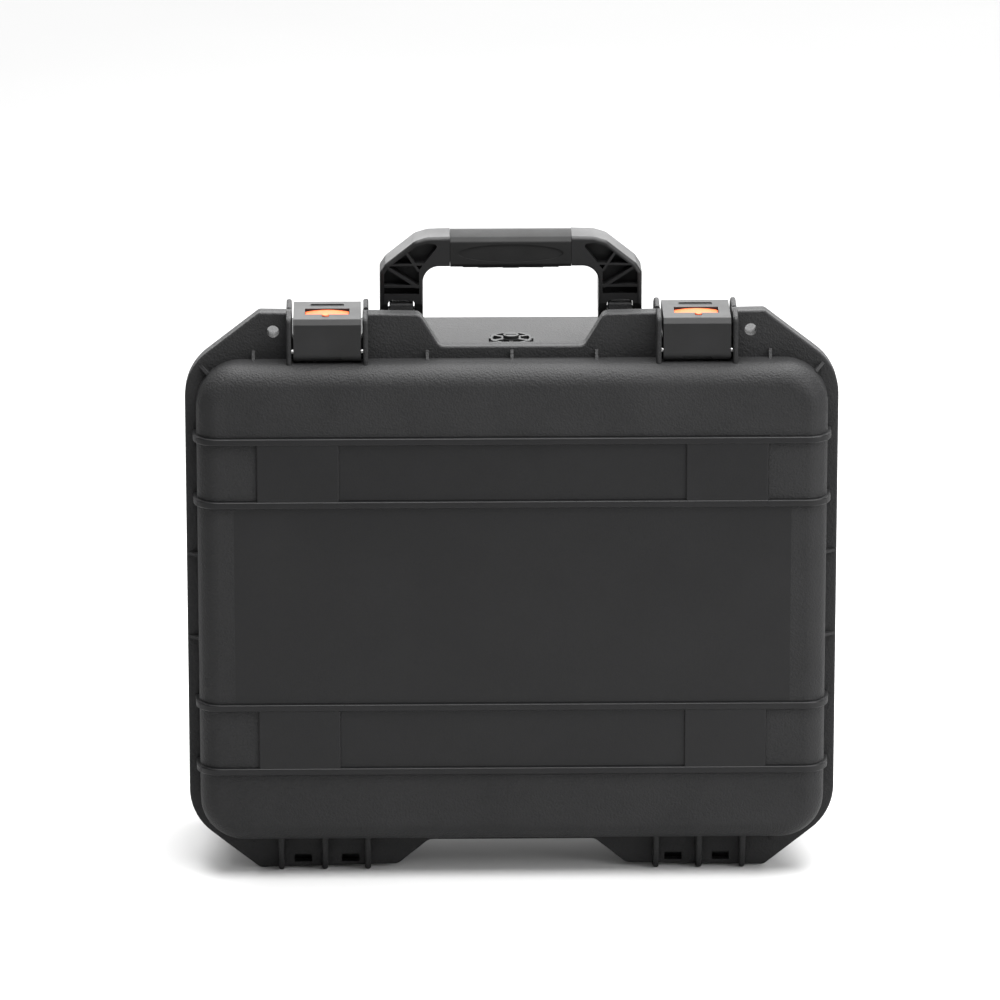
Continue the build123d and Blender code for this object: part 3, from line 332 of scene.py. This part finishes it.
def convoluted_sheet():
    """The lid's egg-crate foam: flat against the lid, with rows of rounded peaks facing the tray."""
    lo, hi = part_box("lid_foam")
    cx, cz = (lo.x + hi.x) / 2, (lo.z + hi.z) / 2
    hx, hz, r = (hi.x - lo.x) / 2, (hi.z - lo.z) / 2, 0.018
    nx, nz = 224, 176
    pitch_x, pitch_z = 2 * hx / 11, 2 * hz / 9
    top, amp = hi.y - 0.0004, 0.0052
    flat = lo.y + 0.0002

    def place(u, v):
        x, z = u * hx, v * hz
        ax, az = abs(x), abs(z)
        if ax > hx - r and az > hz - r:
            a, b = (ax - hx + r) / r, (az - hz + r) / r
            a, b = a * math.sqrt(1 - b * b / 2), b * math.sqrt(1 - a * a / 2)
            x = math.copysign(hx - r + a * r, x)
            z = math.copysign(hz - r + b * r, z)
        return x, z

    bm = bmesh.new()
    front, back = {}, {}
    for i in range(nx + 1):
        for j in range(nz + 1):
            u, v = 2 * i / nx - 1, 2 * j / nz - 1
            x, z = place(u, v)
            w = math.cos(2 * math.pi * (u * hx) / pitch_x) * math.cos(2 * math.pi * (v * hz) / pitch_z)
            w = math.copysign(abs(w) ** 0.85, w)
            edge = min(1.0, (1 - abs(u)) * hx / 0.006) * min(1.0, (1 - abs(v)) * hz / 0.006)
            y = top - amp + amp * w * (0.35 + 0.65 * edge)
            front[i, j] = bm.verts.new((cx + x, y, cz + z))
            # the back follows the lid's inner corner radius
            e = max(0.0, 1 - min((1 - abs(u)) * hx, (1 - abs(v)) * hz) / 0.009)
            back[i, j] = bm.verts.new((cx + x * (1 - 0.012 * e * e), flat + 0.006 * e * e, cz + z * (1 - 0.014 * e * e)))
    for i in range(nx):
        for j in range(nz):
            bm.faces.new((front[i, j], front[i, j + 1], front[i + 1, j + 1], front[i + 1, j]))
            bm.faces.new((back[i, j], back[i + 1, j], back[i + 1, j + 1], back[i, j + 1]))
    rim = [(i, 0) for i in range(nx)] + [(nx, j) for j in range(nz)] + [(i, nz) for i in range(nx, 0, -1)] + [(0, j) for j in range(nz, 0, -1)]
    for k, a in enumerate(rim):
        b = rim[(k + 1) % len(rim)]
        bm.faces.new((front[a], front[b], back[b], back[a]))
    bmesh.ops.recalc_face_normals(bm, faces=bm.faces)
    me = bpy.data.meshes.new("lid_foam_convoluted")
    bm.to_mesh(me)
    bm.free()
    for p in me.polygons:
        p.use_smooth = True
    o = new_object("lid_foam_convoluted", me, MAT_FOAM)
    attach(o, "lid")
    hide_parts("lid_foam")
    return o


convoluted_sheet()


# ------------------------------------------------------------------ moulded pieces with eased edges
def eased(node, name, width, mat, angle=32):
    """The piece's visible skin: the CAD shape with small radii on its sharp moulded edges."""
    me = NODES[node].data.copy()
    o = new_object(name, me, mat)
    bm = bmesh.new()
    bm.from_mesh(me)
    bmesh.ops.remove_doubles(bm, verts=bm.verts, dist=2e-6)
    bmesh.ops.dissolve_degenerate(bm, edges=bm.edges, dist=2e-6)
    bmesh.ops.dissolve_limit(bm, angle_limit=math.radians(0.6), verts=bm.verts, edges=bm.edges, use_dissolve_boundaries=False)
    for f in bm.faces:
        f.smooth = True
    bm.to_mesh(me)
    bm.free()
    b = o.modifiers.new("ease", "BEVEL")
    b.width = width
    b.segments = 2
    b.limit_method = "ANGLE"
    b.angle_limit = math.radians(angle)
    b.use_clamp_overlap = True
    b.harden_normals = False
    w = o.modifiers.new("normals", "WEIGHTED_NORMAL")
    w.keep_sharp = True
    w.weight = 60
    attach(o, BODY_OF[node])
    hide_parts(node)
    return o


eased("lid_shell", "lid_moulding", 0.00045, MAT_SHELL)
eased("base_shell", "base_moulding", 0.00045, MAT_SHELL)
for side in ("left", "right"):
    eased("latch_" + side, "latch_moulding_" + side, 0.0005, MAT_LATCH)
    eased("latch_keeper_" + side, "keeper_moulding_" + side, 0.00045, MAT_SHELL)
    eased("handle_bracket_" + side, "bracket_moulding_" + side, 0.00045, MAT_SHELL)
    eased("latch_button_" + side, "button_moulding_" + side, 0.00035, MAT_ORANGE)
eased("handle_frame", "handle_moulding", 0.0004, MAT_HANDLE)
eased("handle_grip", "grip_moulding", 0.0004, MAT_GRIP)
eased("purge_valve_knob", "knob_moulding", 0.00025, MAT_VALVE)

# ------------------------------------------------------------------ camera, floor, lights
PITCH, YAW, ROLL = math.radians(16.09), math.radians(-0.99), math.radians(-0.02)
DIST, F_PX = 4.0, 7162.0
target = Vector((-5.9, -3.5, 202.5)) * MM
back = Vector((math.sin(YAW) * math.cos(PITCH), -math.cos(YAW) * math.cos(PITCH), math.sin(PITCH)))
right = (-back).cross(Vector((0, 0, 1))).normalized()
up = right.cross(-back)
r2 = math.cos(ROLL) * right + math.sin(ROLL) * up
u2 = -math.sin(ROLL) * right + math.cos(ROLL) * up
cam = bpy.data.cameras.new("camera")
cam.sensor_width = 36.0
cam.lens = F_PX / 1000 * 36.0
cam.clip_end = 60
cam_o = bpy.data.objects.new("camera", cam)
scene.collection.objects.link(cam_o)
m = Matrix((r2, u2, back)).transposed().to_4x4()
m.translation = target + back * DIST
cam_o.matrix_world = m
scene.camera = cam_o

bm = bmesh.new()
bmesh.ops.create_grid(bm, x_segments=2, y_segments=2, size=14)
me = bpy.data.meshes.new("floor")
bm.to_mesh(me)
bm.free()
F = Mat("floor_paint", color=(0.52, 0.52, 0.52), rough=0.7, spec=0.2)
F.set("Roughness", F.remap(F.noise(3.0, 2.0), 0.0, 1.0, 0.66, 0.76))
floor = new_object("floor", me, F.m)
floor.location = (0, 0, -0.0002)


def area(name, loc, aim, size, energy, size_y=None, color=(1, 1, 1)):
    li = bpy.data.lights.new(name, "AREA")
    li.energy = energy
    li.color = color
    li.shape = "RECTANGLE"
    li.size = size
    li.size_y = size_y or size
    o = bpy.data.objects.new(name, li)
    scene.collection.objects.link(o)
    d = Vector(aim) - Vector(loc)
    o.matrix_world = d.to_track_quat("-Z", "Y").to_matrix().to_4x4()
    o.location = loc
    return o


area("overhead", (0.14, 0.02, 1.45), (0.02, 0.0, 0.2), 1.9, 100, 1.5)
area("front_top", (0.35, -1.6, 1.3), (0.0, 0.0, 0.25), 1.8, 6, 0.5)
area("back_panel", (0.3, 4.4, 1.6), (0.0, 0.6, 0.1), 6.5, 270, 2.6)
area("right_key", (1.3, -0.75, 0.75), (0.1, 0.0, 0.2), 0.5, 16, 0.9)

world = bpy.data.worlds.new("studio")
world.use_nodes = True
bg = world.node_tree.nodes["Background"]
bg.inputs["Color"].default_value = (1, 1, 1, 1)
bg.inputs["Strength"].default_value = 0.05
scene.world = world
scene.view_settings.view_transform = "Standard"
